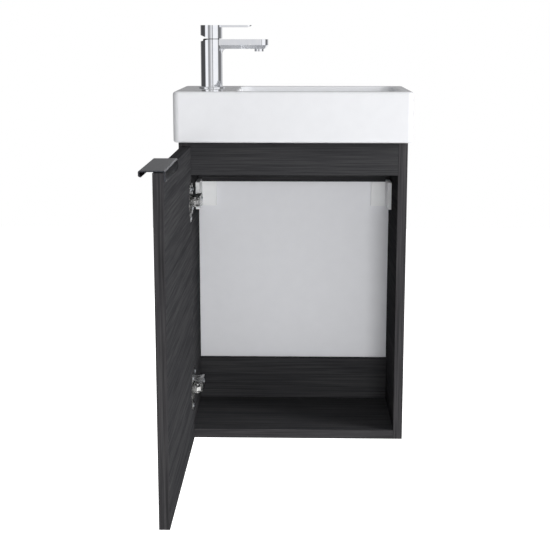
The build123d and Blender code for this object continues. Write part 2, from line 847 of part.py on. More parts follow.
def waste_plug():
    """Domed plug on its stem, pressed down."""
    level = bowl_floor + waste_flange_thickness + waste_play
    disc = Pos(bowl_x, bowl_y, level + waste_plug_thickness / 2) * Cylinder(
        waste_plug_radius, waste_plug_thickness)
    disc = fillet(disc.edges().group_by(Axis.Z)[-1], waste_plug_round)
    stem = rod((bowl_x, bowl_y, level - waste_stem_length / 2), "Z", waste_stem_radius, waste_stem_length)
    return disc + stem


def waste_gasket():
    level = bowl_floor - bowl_wall - waste_gasket_thickness / 2
    return tube((bowl_x, bowl_y, level), "Z", waste_gasket_radius, waste_tail_radius, waste_gasket_thickness)


def waste_nut():
    level = bowl_floor - bowl_wall - waste_gasket_thickness - waste_nut_height
    hexagon = RegularPolygon(waste_nut_flats / 2, 6, major_radius=False) - Circle(waste_tail_radius)
    return Pos(bowl_x, bowl_y, level) * extrude(hexagon, amount=waste_nut_height)


# Mixer, drawn on its own axis with Z = 0 on the tap deck
def on_deck(shape):
    return Pos(tap_x, tap_y, deck_level) * shape


def notch_wedge(level, fall):
    """Wedge that opens the mixer to the rear from the notch apex, rising or falling to the left."""
    reach = 2 * tap_body_radius
    end = level + fall * (reach - notch_apex) / (tap_body_radius - notch_apex)
    outline = make_face(Polyline((-notch_apex, level), (-reach, end), (-reach, level), close=True))
    return extrude(Plane.XZ * outline, amount=2 * tap_body_radius, both=True)


def spout():
    side_low = tap_body_height - spout_side_height
    middle = (spout_reach - spout_width / 2) / 2
    plan = Pos(middle, 0) * Rectangle(2 * middle, spout_width) + Pos(2 * middle, 0) * Circle(spout_width / 2)
    upper = Pos(0, 0, side_low) * extrude(plan, amount=spout_side_height)
    under = Pos(0, 0, side_low) * extrude(plan, amount=-spout_under_height, taper=spout_under_angle)
    return upper + under


def spout_gusset():
    """Hollow round between the pillar and the spout's underside."""
    inner = tap_body_radius - gusset_root
    foot = tap_body_radius - gusset_sink
    outer = tap_body_radius + gusset_round
    low = spout_low - gusset_round
    top = spout_low + gusset_sink
    curve = RadiusArc((outer, spout_low), (foot, low), -gusset_round * gusset_arc_share)
    front = Polyline((inner, top), (outer, top), (outer, spout_low))
    rear = Polyline((foot, low), (inner, low), (inner, top))
    return extrude(Plane.XZ * make_face(front + curve + rear), amount=spout_width / 4, both=True)


def tap_body():
    """Cylinder and spout in one casting, bored for the cartridge and tapped underneath."""
    pillar = Pos(0, 0, tap_body_height / 2) * Cylinder(tap_body_radius, tap_body_height)
    body = pillar + spout() + spout_gusset()
    body = body - notch_wedge(tap_body_height, -notch_body_drop)
    bore_height = tap_body_height - tap_bore_bottom
    body = body - Pos(0, 0, tap_bore_bottom + bore_height) * Cylinder(tap_bore_radius, 2 * bore_height)
    body = body - Pos(aerator_reach, 0, spout_low) * Cylinder(aerator_radius, 2 * aerator_socket)
    for side in (-1, 1):
        body = body - Pos(-inlet_offset, side * inlet_spread, 0) * Cylinder(inlet_radius, 2 * inlet_depth)
    return on_deck(body - Pos(stud_offset, 0, 0) * Cylinder(stud_radius, 2 * stud_depth))


def tap_base_ring():
    ring = Pos(0, 0, tap_ring_height / 2) * Cylinder(tap_ring_radius, tap_ring_height)
    ring = fillet(ring.edges().group_by(Axis.Z)[-1], tap_ring_round)
    return on_deck(ring - Cylinder(tap_body_radius, 4 * tap_ring_height))


def tap_aerator():
    low, top = spout_low - aerator_drop, spout_low + aerator_socket
    sleeve = Pos(aerator_reach, 0, (low + top) / 2) * Cylinder(aerator_radius - aerator_play, top - low)
    bore = Pos(aerator_reach, 0, low) * Cylinder(aerator_radius - aerator_wall - aerator_play, 2 * aerator_bore_depth)
    return on_deck(sleeve - bore)


def tap_aerator_insert():
    """Perforated disc seen in the aerator's mouth."""
    middle = spout_low - aerator_drop + insert_setback + insert_thickness / 2
    disc = Cylinder(aerator_radius - aerator_wall - aerator_play, insert_thickness)
    steps = (-insert_pitch, 0, insert_pitch)
    for x, y in [(x, y) for x in steps for y in steps]:
        disc = disc - Pos(x, y) * Box(insert_hole, insert_hole, 3 * insert_thickness)
    return on_deck(Pos(aerator_reach, 0, middle) * disc)


def tap_cartridge():
    height = cartridge_top - tap_bore_bottom
    body = Pos(0, 0, tap_bore_bottom + height / 2) * Cylinder(cartridge_radius, height)
    foot = Cylinder(tap_bore_radius - cartridge_foot_play, cartridge_foot_height)
    return on_deck(body + Pos(0, 0, tap_bore_bottom + cartridge_foot_height / 2) * foot)


def tap_clamp_nut():
    """Ring that holds the cartridge down, in the bore's thread."""
    ring = Cylinder(tap_bore_radius, clamp_nut_height) - Cylinder(cartridge_radius, 3 * clamp_nut_height)
    return on_deck(Pos(0, 0, cartridge_top - clamp_nut_height / 2) * ring)


def tap_collar():
    """Guide under the lever's cap: it turns with the lever, and its two ears carry the lift pin."""
    low = cartridge_top + collar_play
    ring = Pos(0, 0, low + collar_height / 2) * Cylinder(collar_radius, collar_height)
    ring = fillet(ring.edges().group_by(Axis.Z)[-1], collar_round)
    ring = ring - Pos(0, 0, low) * Cylinder(collar_bore, 4 * collar_height)
    ear_low = low + collar_height / 2
    for side in (-1, 1):
        near, far = sorted((side * ear_inner, side * (ear_inner + ear_thickness)))
        ear = block((-ear_width / 2, ear_width / 2), (near, far), (ear_low, lift_axis_height + ear_above_axis))
        ring = ring + fillet(ear.edges().filter_by(Axis.Y).group_by(Axis.Z)[-1], ear_round)
    return on_deck(ring - rod((0, 0, lift_axis_height), "Y", lift_pin_radius + pivot_pin_play, 4 * ear_inner))


def tap_stem():
    low, top = tap_body_height - stem_drop, cap_top - cap_roof
    stem = Pos(0, 0, (low + top) / 2) * Cylinder(stem_radius, top - low)
    return on_deck(stem - rod((0, 0, lift_axis_height), "Y", lift_pin_radius, 4 * stem_radius))


def tap_lift_pin():
    """Cross pin that the stem and the cap tilt on."""
    return on_deck(rod((0, 0, lift_axis_height), "Y", lift_pin_radius, 2 * (ear_inner + ear_thickness)))


def tap_lever():
    """Cap with its rear edge cut away, and the flat blade that tapers to a thin tip."""
    cap = Pos(0, 0, cap_bottom + cap_height / 2) * Cylinder(tap_body_radius, cap_height)
    straight = lever_reach - lever_width / 2
    plan = Pos(straight / 2, 0) * Rectangle(straight, lever_width) + Pos(straight, 0) * Circle(lever_width / 2)
    low = cap_top - lever_thickness
    blade = Pos(0, 0, low) * extrude(plan, amount=lever_thickness)
    tip = make_face(Polyline(
        (lever_reach - lever_tip_taper, low),
        (lever_reach, cap_top - lever_tip_edge),
        (lever_reach, low),
        close=True,
    ))
    blade = blade - extrude(Plane.XZ * tip, amount=lever_width, both=True)
    hollow_height = cap_height - cap_roof
    hollow = Pos(0, 0, cap_bottom) * Cylinder(cap_bore, 2 * hollow_height)
    lever = cap + blade - hollow - notch_wedge(cap_bottom, cap_notch_rise)
    return on_deck(lever - rod((-tap_body_radius, 0, lever_screw_height), "X", lever_screw_radius, tap_body_radius))


def tap_lever_screw():
    """Grub screw behind the cap."""
    length = tap_body_radius - stem_radius - lever_screw_play
    return on_deck(Pos(-stem_radius - length / 2, 0, lever_screw_height) * Rot(0, 90, 0) * Cylinder(
        lever_screw_radius, length))


def tap_stud():
    top = stud_depth
    return on_deck(Pos(stud_offset, 0, top - stud_length / 2) * Cylinder(stud_radius, stud_length))


def clamp_ring(thickness, top):
    """Round washer below the deck, notched so that the supply hoses pass."""
    disc = Cylinder(clamp_washer_radius, thickness)
    shift = clamp_washer_radius / 2 + clamp_notch_shift
    notch = Pos(-shift, 0) * Box(clamp_washer_radius, clamp_notch_width, 3 * thickness)
    disc = disc - notch - Pos(stud_offset, 0) * Cylinder(stud_radius + stud_play, 3 * thickness)
    return on_deck(Pos(0, 0, top - thickness / 2) * disc)


def tap_clamp_rubber():
    return clamp_ring(clamp_rubber_thickness, -deck_thickness)


def tap_clamp_washer():
    return clamp_ring(clamp_steel_thickness, -deck_thickness - clamp_rubber_thickness)


def tap_stud_nut():
    top = -deck_thickness - clamp_rubber_thickness - clamp_steel_thickness
    hexagon = RegularPolygon(stud_nut_flats / 2, 6, major_radius=False) - Circle(stud_radius)
    return on_deck(Pos(stud_offset, 0, top - stud_nut_height) * extrude(hexagon, amount=stud_nut_height))


pieces = {
    "side_panel_left": side_panel(-1),
    "side_panel_right": side_panel(1),
    "bottom_panel": bottom_panel(),
    "front_rail": front_rail(),
    "rear_rail_upper": rear_rail_upper(),
    "rear_rail_lower": rear_rail_lower(),
    "back_panel": back_panel(),
    "carcass_dowels": dowels(dowel_radius, dowel_length),
    "hanger_cover_right": hanger_cover(),
    "hanger_cover_left": mirrored(hanger_cover()),
    "hanger_bracket_right": hanger_bracket(),
    "hanger_bracket_left": mirrored(hanger_bracket()),
    "wall_plate_right": wall_plate(),
    "wall_plate_left": mirrored(wall_plate()),
    "hanger_screws": hanger_screws(),
    "door_panel": door_panel(),
    "door_handle": door_handle(),
    "handle_screws": handle_screws(),
    "cup_screws": cup_screws(),
    "hinge_pivot_pins": hinge_pivot_pins(),
    "arm_pins": arm_pins(),
    "plate_screws": plate_screws(),
    "arm_screws": arm_screws(),
    "basin": basin(),
    "waste_body": waste_body(),
    "waste_plug": waste_plug(),
    "waste_gasket": waste_gasket(),
    "waste_nut": waste_nut(),
    "tap_body": tap_body(),
    "tap_base_ring": tap_base_ring(),
    "tap_aerator": tap_aerator(),
    "tap_aerator_insert": tap_aerator_insert(),
    "tap_cartridge": tap_cartridge(),
    "tap_clamp_nut": tap_clamp_nut(),
    "tap_collar": tap_collar(),
    "tap_stem": tap_stem(),
    "tap_lift_pin": tap_lift_pin(),
    "tap_lever": tap_lever(),
    "tap_lever_screw": tap_lever_screw(),
    "tap_stud": tap_stud(),
    "tap_clamp_rubber": tap_clamp_rubber(),
    "tap_clamp_washer": tap_clamp_washer(),
    "tap_stud_nut": tap_stud_nut(),
}
for name, height in zip(("lower", "upper"), hinge_heights):
    pieces["hinge_cup_" + name] = hinge_cup(height)
    pieces["outer_link_" + name] = outer_link(height)
    pieces["inner_link_" + name] = inner_link(height)
    pieces["hinge_arm_" + name] = hinge_arm(height)
    pieces["mounting_plate_" + name] = mounting_plate(height)

os.makedirs("parts", exist_ok=True)
for name, shape in pieces.items():
    export_step(Pos(0, 0, -hang_height) * shape, f"parts/{name}.step")

print("origin above the cabinet's underside", hang_height)
print("door axis at", swing_x, swing_y)
print("inner link axis at", inner_nose_point())
print("mixer axis at", tap_x, tap_y, "and lever pin at height", deck_level + lift_axis_height - hang_height)
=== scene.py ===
# %% [markdown]
# # A wall-hung vanity unit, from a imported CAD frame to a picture
# The cabinet, washbasin, mixer, hinges and hangers come from the CAD frame, one object a piece.
# They could be modelled again here, but the frame already holds every piece that the photo shows.
# So this lesson adds none: it gives each the surface that the real one has, and sets up a studio.

# %% Load the frame
import math

import bpy
import numpy as np
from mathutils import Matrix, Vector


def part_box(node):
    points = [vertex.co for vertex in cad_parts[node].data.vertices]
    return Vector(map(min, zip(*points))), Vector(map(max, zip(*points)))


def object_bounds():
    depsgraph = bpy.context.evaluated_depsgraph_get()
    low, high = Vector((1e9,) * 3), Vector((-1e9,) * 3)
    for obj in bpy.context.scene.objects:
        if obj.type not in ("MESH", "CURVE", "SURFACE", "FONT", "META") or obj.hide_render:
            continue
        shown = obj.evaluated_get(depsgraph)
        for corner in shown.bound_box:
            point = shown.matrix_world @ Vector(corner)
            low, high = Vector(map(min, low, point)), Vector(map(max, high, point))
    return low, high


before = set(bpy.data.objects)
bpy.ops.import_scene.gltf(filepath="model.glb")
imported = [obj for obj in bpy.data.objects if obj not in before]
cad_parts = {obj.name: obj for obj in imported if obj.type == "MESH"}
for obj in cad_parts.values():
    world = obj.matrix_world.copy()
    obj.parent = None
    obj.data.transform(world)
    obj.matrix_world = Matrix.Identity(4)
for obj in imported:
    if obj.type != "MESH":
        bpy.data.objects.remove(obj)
cad_low, cad_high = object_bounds()
print("CAD box, metres:", [round(v, 4) for v in cad_high - cad_low])

# %% [markdown]
# ## A small kit for surfaces
# Each material is a tree of noise and cell textures in the object's own coordinates, so a pattern
# stays on its piece when the door opens, and has its real size in metres. Another way is to
# unwrap each piece and paint an image, but that ties the pattern to one mesh.

# %% Material kit
# The Mix node's sockets where it mixes colours
MIX_SHARE = 0
MIX_FIRST = 6
MIX_SECOND = 7
MIX_RESULT = 2
# The part of a noise's values that is carried to a roughness
NOISE_SPAN = (0.3, 0.7)
FULL_SPAN = (0.0, 1.0)


def make_material(name, roughness, metallic=0.0, **sockets):
    """A material with its shader's plain values set. Returns (material, tree, shader)."""
    material = bpy.data.materials.new(name)
    material.use_nodes = True
    tree = material.node_tree
    shader = tree.nodes["Principled BSDF"]
    shader.inputs["Roughness"].default_value = roughness
    shader.inputs["Metallic"].default_value = metallic
    for socket, value in sockets.items():
        shader.inputs[socket.replace("_", " ")].default_value = value
    return material, tree, shader


def add(tree, kind, inputs=None, **settings):
    """Adds a node. inputs maps a socket to a value or to the output that feeds it."""
    node = tree.nodes.new(kind)
    for key, value in settings.items():
        setattr(node, key, value)
    for key, value in (inputs or {}).items():
        if isinstance(value, bpy.types.NodeSocket):
            tree.links.new(value, node.inputs[key])
        else:
            node.inputs[key].default_value = value
    return node


def place(tree, stretch=(1.0, 1.0, 1.0)):
    """The object's own coordinates in metres, each axis times its stretch."""
    own = add(tree, "ShaderNodeTexCoord").outputs["Object"]
    return add(tree, "ShaderNodeMapping", {"Vector": own, "Scale": stretch}).outputs["Vector"]


def axis_value(tree, axis):
    """One of the object's own coordinates, in metres."""
    own = add(tree, "ShaderNodeTexCoord").outputs["Object"]
    return add(tree, "ShaderNodeSeparateXYZ", {0: own}).outputs[axis]


def noise(tree, vector, cells, detail=4.0, rough=0.55):
    """Grey noise with that many cells to a metre."""
    sockets = {"Vector": vector, "Scale": cells, "Detail": detail, "Roughness": rough}
    return add(tree, "ShaderNodeTexNoise", sockets).outputs["Fac"]


def maths(tree, operation, first, second=0.0):
    """One Math node on one or two values."""
    return add(tree, "ShaderNodeMath", {0: first, 1: second}, operation=operation).outputs[0]


def weigh(tree, share, first, second):
    """The share of the first value plus the rest of the second."""
    parts = maths(tree, "MULTIPLY", first, share), maths(tree, "MULTIPLY", second, 1.0 - share)
    return maths(tree, "ADD", *parts)


def spread(tree, value, span, result):
    """Value between the span's two ends, carried to the result's two ends and held there."""
    sockets = {0: value, 1: span[0], 2: span[1], 3: result[0], 4: result[1]}
    return add(tree, "ShaderNodeMapRange", sockets).outputs[0]


def colours(tree, value, stops):
    """Value carried to colours: stops are (position, (r, g, b))."""
    node = add(tree, "ShaderNodeValToRGB", {0: value})
    ramp = node.color_ramp
    while len(ramp.elements) < len(stops):
        ramp.elements.new(0.5)
    for element, (position, colour) in zip(ramp.elements, stops):
        element.position = position
        element.color = (*colour, 1.0)
    return node.outputs["Color"]


def socket_colour(colour):
    """An output as it is, or (r, g, b) with its alpha."""
    return colour if isinstance(colour, bpy.types.NodeSocket) else (*colour, 1.0)


def blend_colour(tree, share, first, second):
    """First colour towards the second by the share."""
    sockets = {MIX_SHARE: share, MIX_FIRST: socket_colour(first), MIX_SECOND: socket_colour(second)}
    return add(tree, "ShaderNodeMix", sockets, data_type="RGBA").outputs[MIX_RESULT]


def dress(tree, shader, colour, roughness=None, height=None, depth=0.0):
    """Feeds the shader's colour, its roughness, and bumps from a height with a depth in metres."""
    tree.links.new(colour, shader.inputs["Base Color"])
    if roughness is not None:
        tree.links.new(roughness, shader.inputs["Roughness"])
    if depth:
        relief = add(tree, "ShaderNodeBump", {"Height": height, "Distance": depth, "Strength": 1.0})
        tree.links.new(relief.outputs["Normal"], shader.inputs["Normal"])


def srgb(*levels):
    """Screen levels from 0 to 255 as the linear colour that a shader takes (the sRGB curve)."""
    shares = np.array(levels) / 255.0
    dark = shares / 12.92
    bright = ((shares + 0.055) / 1.055) ** 2.4
    return tuple(np.where(shares <= 0.04045, dark, bright).tolist())


def set_material(material, *nodes):
    """Gives CAD nodes the material, in all their slots."""
    for name in nodes:
        for material_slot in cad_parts[name].material_slots:
            material_slot.material = material


print("kit ready for", len(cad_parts), "CAD nodes")

# %% [markdown]
# ## Board material
# The cabinet is melamine-faced chipboard with a dark oak print. The print's grain is long noise
# cells drawn out along the board, darker pores lie in the same direction, and slow clouds run
# through both. Wave rings could draw the grain too, but they look ruled on so plain a decor. The
# print is matt, so the board has no grazing sheen.
#
# A front edge carries a band of a livelier print, 1 mm thick, with a thin dark seam behind it. A
# raw rear edge shows its pressed chips. Each edge lies on one plane, so it is picked out by its Y,
# with no need to split the CAD's faces.

# %% Board material
GRAIN_STRETCH = 0.018
GRAIN = {
    "X": (GRAIN_STRETCH, 1.0, 1.0),
    "Y": (1.0, GRAIN_STRETCH, 1.0),
    "Z": (1.0, 1.0, GRAIN_STRETCH),
}
FIGURE_SHARE = 0.7
PORE_STRETCH = 0.35
PORE_SPAN = (0.58, 0.7)
PORE_DARKNESS = 0.4
PORE_SINK = 0.8
BOARD_TONES = ((0.38, srgb(47, 47, 49)), (0.5, srgb(56, 56, 58)), (0.62, srgb(65, 65, 66)))
BAND_TONES = ((0.36, srgb(44, 44, 45)), (0.5, srgb(60, 59, 61)), (0.66, srgb(76, 75, 76)))
PORE_TONE = srgb(34, 34, 36)
SEAM_TONE = srgb(22, 22, 23)
SEAM_SHARE = 0.7
CHIP_TONES = ((0.30, srgb(120, 92, 62)), (0.5, srgb(164, 134, 96)), (0.68, srgb(190, 163, 124)))
CHIP_CELLS = 420.0
CHIP_GAIN = 0.5
CHIP_BASE = 0.3
BOARD_ROUGHNESS = (0.78, 0.62)
BOARD_RELIEF = 0.00012
SKIN = 0.00005
FULL_REACH = 0.8
BAND_THICK = 0.001
SEAM_HALF = 0.00012


def oak_print(tree, along, tones):
    """The print's colour, its grey figure and its pores, with the grain along one axis."""
    drawn = place(tree, GRAIN[along])
    figure = noise(tree, drawn, cells=420.0, detail=5.0, rough=0.6)
    cloud = noise(tree, drawn, cells=60.0, detail=3.0)
    tone = weigh(tree, FIGURE_SHARE, figure, cloud)
    drawn_long = place(tree, tuple(v * PORE_STRETCH if v < 1 else v for v in GRAIN[along]))
    pore_noise = noise(tree, drawn_long, cells=900.0, detail=3.0, rough=0.7)
    pore = spread(tree, pore_noise, PORE_SPAN, (0.0, PORE_DARKNESS))
    face = blend_colour(tree, pore, colours(tree, tone, tones), PORE_TONE)
    return face, figure, pore


def near_plane(tree, level, reach):
    """1 close to the plane y = level, and 0 beyond the reach from it."""
    away = maths(tree, "ABSOLUTE", maths(tree, "SUBTRACT", axis_value(tree, "Y"), level))
    return spread(tree, away, (reach, reach * FULL_REACH), FULL_SPAN)


def board_material(name, along, front=None, raw_rear=False):
    """Oak print, an edge band on the plane y = front with its seam, and chips on a raw rear edge."""
    material, tree, shader = make_material(name, roughness=0.75, Specular_IOR_Level=0.0)
    face, figure, pore = oak_print(tree, along, BOARD_TONES)
    if front is not None:
        band = oak_print(tree, "X" if along == "X" else "Z", BAND_TONES)[0]
        face = blend_colour(tree, near_plane(tree, front, SKIN), face, band)
        seam = near_plane(tree, front + BAND_THICK, SEAM_HALF)
        face = blend_colour(tree, maths(tree, "MULTIPLY", seam, SEAM_SHARE), face, SEAM_TONE)
    if raw_rear:
        chips = add(tree, "ShaderNodeTexVoronoi", {"Vector": place(tree), "Scale": CHIP_CELLS})
        chip_tone = maths(tree, "MULTIPLY", chips.outputs["Distance"], CHIP_GAIN)
        chip_tone = maths(tree, "ADD", chip_tone, CHIP_BASE)
        raw = near_plane(tree, 0.0, SKIN)
        face = blend_colour(tree, raw, face, colours(tree, chip_tone, CHIP_TONES))
    roughness = spread(tree, figure, NOISE_SPAN, BOARD_ROUGHNESS)
    height = maths(tree, "SUBTRACT", figure, maths(tree, "MULTIPLY", pore, PORE_SINK))
    dress(tree, shader, face, roughness, height, BOARD_RELIEF)
    return material


print("board print:", len(BOARD_TONES), "tones, bumps", BOARD_RELIEF * 1000, "mm deep")

# %% [markdown]
# ## The seven boards
# The rails and the floor run across the unit and have their grain that way. On the sides and the
# door it runs from front to back, as the photo shows on the open door. One material with a turned
# copy of each mesh would do as well, but the CAD's meshes stay as they are, so each direction has
# its own material. Bands sit on the front of the sides and the floor, and on the door's free edge.

# %% Dress the boards
side_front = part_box("side_panel_left")[0][1]
door_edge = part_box("door_panel")[0][1]
board_across = board_material("anthracite_board_across", "X")
board_floor = board_material("anthracite_board_floor", "X", side_front, raw_rear=True)
board_deep = board_material("anthracite_board_deep", "Y", side_front, raw_rear=True)
board_door = board_material("anthracite_board_door", "Y", door_edge)
set_material(board_across, "front_rail", "rear_rail_upper", "rear_rail_lower")
set_material(board_floor, "bottom_panel")
set_material(board_deep, "side_panel_left", "side_panel_right")
set_material(board_door, "door_panel")
print("boards: 7, bands on the planes y =", round(side_front, 4), "and", round(door_edge, 4))

# %% [markdown]
# ## Back panel, dowels and moulded pieces
# The back is 3 mm hardboard, sprayed pale grey inside and left brown and fibrous at the rear. The
# hanger covers are moulded in white with a fine spark-eroded texture, the dowels are beech, and
# the seals are rubber. Plain colours would pass at this distance, but a faint cloud and a fine
# grain keep the large pale faces from looking like paper.

# %% Pale and moulded surfaces
BACK_FILM_ENDS = (-0.0029, -0.0028)
BACK_ROUGHNESS = (0.5, 0.85)
BACK_RELIEF = 0.00004
FILM_TONES = ((0.3, srgb(240, 241, 245)), (0.7, srgb(242, 243, 247)))
FIBRE_TONES = ((0.35, srgb(98, 70, 47)), (0.6, srgb(139, 104, 72)), (0.75, srgb(160, 126, 92)))
BEECH_TONES = ((0.35, srgb(158, 120, 78)), (0.65, srgb(206, 170, 124)))
BEECH_RELIEF = 0.00008
PLASTIC_RELIEF = 0.00003
SMOOTHER = 0.06
DULLER = 0.08


def back_material():
    """Grey-white film on the room side, pressed fibre on the wall side."""
    material, tree, shader = make_material("white_board_back", roughness=0.5)
    fine = noise(tree, place(tree), cells=1400.0, detail=3.0)
    slow = noise(tree, place(tree), cells=40.0, detail=4.0)
    fibre = noise(tree, place(tree, (1.0, 1.0, 0.4)), cells=700.0, detail=6.0, rough=0.7)
    rear = spread(tree, axis_value(tree, "Y"), BACK_FILM_ENDS, FULL_SPAN)
    roughness = spread(tree, rear, FULL_SPAN, BACK_ROUGHNESS)
    film = colours(tree, slow, FILM_TONES)
    tone = blend_colour(tree, rear, film, colours(tree, fibre, FIBRE_TONES))
    dress(tree, shader, tone, roughness, fine, BACK_RELIEF)
    return material


def plastic_material(name, dark, light, roughness, grain=2600.0):
    """Moulded plastic: fine even texture and faint flow clouds."""
    material, tree, shader = make_material(name, roughness)
    fine = noise(tree, place(tree), cells=grain, detail=2.0)
    slow = noise(tree, place(tree), cells=60.0, detail=3.0)
    uneven = spread(tree, fine, NOISE_SPAN, (roughness - SMOOTHER, roughness + DULLER))
    tone = colours(tree, slow, ((0.3, dark), (0.7, light)))
    dress(tree, shader, tone, uneven, fine, PLASTIC_RELIEF)
    return material


def beech_material():
    """Turned beech, with its fibres along the dowel."""
    material, tree, shader = make_material("beech_dowels", roughness=0.6)
    figure = noise(tree, place(tree, (0.12, 1.0, 1.0)), cells=900.0, detail=5.0, rough=0.65)
    dress(tree, shader, colours(tree, figure, BEECH_TONES), height=figure, depth=BEECH_RELIEF)
    return material


set_material(back_material(), "back_panel")
set_material(beech_material(), "carcass_dowels")
white_plastic = plastic_material("white_plastic_covers", srgb(244, 245, 246), srgb(248, 249, 250), 0.42)
set_material(white_plastic, "hanger_cover_left", "hanger_cover_right")
dark_plastic = plastic_material("dark_plastic_moulded", srgb(24, 24, 26), srgb(34, 34, 37), 0.5)
set_material(dark_plastic, "tap_aerator_insert", "tap_collar", "tap_cartridge", "waste_nut")
rubber = plastic_material("rubber_seals", srgb(18, 18, 18), srgb(30, 30, 30), 0.75, grain=1200.0)
set_material(rubber, "waste_gasket", "tap_clamp_rubber")
print("back, dowels, covers and moulded pieces dressed")

# %% [markdown]
# ## Metals
# The mixer and the waste are chromed, which is nearly a mirror: only its gloss clouds a little.
# The hinges are plated with nickel in a barrel, so their gloss changes over a few millimetres, and
# brass pieces are turned. Zinc plate is bluer and has crystals. The pull is dark anodised sheet,
# which mirrors softly along its rolling lines. One grey metal for all would be simpler, but the
# pieces are told apart by how sharply they mirror, so each has its own roughness and tone.

# %% Metal materials
HAIR_SHARE = 0.4
CLOUD_SPAN = (0.35, 0.65)
PLATE_RELIEF = 0.00002
CRYSTAL_CELLS = 700.0
CRYSTAL_TONES = ((0.0, srgb(176, 181, 188)), (1.0, srgb(206, 209, 212)))
CRYSTAL_ROUGHNESS = (0.24, 0.42)
PULL_TONES = ((0.3, srgb(66, 67, 71)), (0.7, srgb(78, 79, 84)))
PULL_ROUGHNESS = (0.26, 0.36)
PULL_RELIEF = 0.00001
FLECK_TONE = srgb(112, 113, 118)
FLECK_SPAN = (0.66, 0.74)
FLECK_SHARE = 0.5


def metal_material(name, dark, light, roughness, depth=PLATE_RELIEF):
    """Plated or turned metal: cloudy gloss, fine hairs and a slight change of tone."""
    material, tree, shader = make_material(name, roughness[0], metallic=1.0)
    hair = noise(tree, place(tree, (1.0, 1.0, 0.3)), cells=2400.0, detail=3.0, rough=0.7)
    cloud = noise(tree, place(tree), cells=120.0, detail=4.0)
    uneven = spread(tree, weigh(tree, HAIR_SHARE, hair, cloud), CLOUD_SPAN, roughness)
    tone = colours(tree, cloud, ((0.3, dark), (0.7, light)))
    dress(tree, shader, tone, uneven, hair, depth)
    return material


def zinc_material():
    """Bright zinc plate with faint crystals."""
    material, tree, shader = make_material("zinc_steel_plated", roughness=0.3, metallic=1.0)
    crystal = add(tree, "ShaderNodeTexVoronoi", {"Vector": place(tree), "Scale": CRYSTAL_CELLS})
    shade = add(tree, "ShaderNodeSeparateColor", {0: crystal.outputs["Color"]}).outputs[0]
    tone = colours(tree, shade, CRYSTAL_TONES)
    roughness = spread(tree, shade, FULL_SPAN, CRYSTAL_ROUGHNESS)
    dress(tree, shader, tone, roughness, noise(tree, place(tree), cells=1800.0), PLATE_RELIEF)
    return material


def pull_material():
    """Dark anodised sheet: it mirrors softly, with rolling lines and tiny lighter grains."""
    material, tree, shader = make_material("dark_metal_anodised", roughness=0.3, metallic=1.0)
    rolled = noise(tree, place(tree, (1.0, 0.04, 1.0)), cells=1800.0, detail=3.0)
    grain = noise(tree, place(tree), cells=5200.0, detail=1.0)
    base = colours(tree, rolled, PULL_TONES)
    fleck = spread(tree, grain, FLECK_SPAN, (0.0, FLECK_SHARE))
    roughness = spread(tree, rolled, NOISE_SPAN, PULL_ROUGHNESS)
    dress(tree, shader, blend_colour(tree, fleck, base, FLECK_TONE), roughness, grain, PULL_RELIEF)
    return material


chrome = metal_material(
    "chrome_polished", srgb(240, 242, 246), srgb(247, 248, 250), roughness=(0.02, 0.05), depth=0.0
)
nickel = metal_material("nickel_steel_plated", srgb(176, 176, 175), srgb(202, 202, 200), (0.2, 0.34))
zinc = zinc_material()
brass = metal_material("brass_turned", srgb(196, 160, 92), srgb(218, 186, 120), (0.2, 0.34))
anodised = pull_material()
print("metals: chrome, nickel, zinc, brass and anodised sheet")

# %% [markdown]
# ## Which piece is of which metal
# Chrome is on the mixer's and the waste's outer pieces. The hinges' pressed pieces and pins are
# nickel. The hangers, the mixer's fixing and all screws but the pull's are zinc, and the mixer's
# stem and clamp nut are brass. A rule on the pieces' names could sort them, but a written list is
# easier to check against the photo.

# %% Dress the metal pieces
set_material(chrome, "tap_body", "tap_base_ring", "tap_aerator", "tap_lever", "waste_body", "waste_plug")
for level in ("lower", "upper"):
    for part in ("hinge_cup_", "outer_link_", "inner_link_", "hinge_arm_", "mounting_plate_"):
        set_material(nickel, part + level)
set_material(nickel, "hinge_pivot_pins", "arm_pins")
set_material(zinc, "hanger_bracket_left", "hanger_bracket_right", "wall_plate_left", "wall_plate_right")
set_material(zinc, "hanger_screws", "cup_screws", "plate_screws", "arm_screws")
set_material(zinc, "tap_stud", "tap_clamp_washer", "tap_stud_nut", "tap_lift_pin", "tap_lever_screw")
set_material(brass, "tap_clamp_nut", "tap_stem")
set_material(anodised, "door_handle", "handle_screws")
print("metal pieces dressed, the pull in", anodised.name)

# %% [markdown]
# ## Glaze
# Sanitary ware is a white body under a clear glaze. The white shifts a little, the glaze pulls
# into a very slight orange peel when it is fired, and a few dust specks stay in it. One glossy
# white would be simpler, but a clear coat over a softer base is what gives the faint, sharp
# reflection of the mixer on the deck while the broad light stays soft.

# %% Ceramic material
GLAZE_TONES = ((0.3, srgb(222, 223, 226)), (0.7, srgb(224, 225, 228)))
GLAZE_ROUGHNESS = (0.26, 0.3)
GLAZE_RELIEF = 0.000006
SPECK_TONE = srgb(190, 188, 184)
SPECK_SPAN = (0.845, 0.86)
SPECK_SHARE = 0.4


def glaze_material():
    """White body with dust specks under a coat that has a very slight orange peel."""
    coat = {"Coat_Weight": 1.0, "Coat_Roughness": 0.03}
    material, tree, shader = make_material("white_ceramic_glaze", roughness=0.28, **coat)
    peel = noise(tree, place(tree), cells=45.0, detail=1.0)
    speck_noise = noise(tree, place(tree), cells=900.0, detail=0.0)
    speck = spread(tree, speck_noise, SPECK_SPAN, (0.0, SPECK_SHARE))
    slow = noise(tree, place(tree), cells=9.0, detail=1.0)
    roughness = spread(tree, slow, FULL_SPAN, GLAZE_ROUGHNESS)
    tone = blend_colour(tree, speck, colours(tree, peel, GLAZE_TONES), SPECK_TONE)
    dress(tree, shader, tone, roughness, peel, GLAZE_RELIEF)
    return material


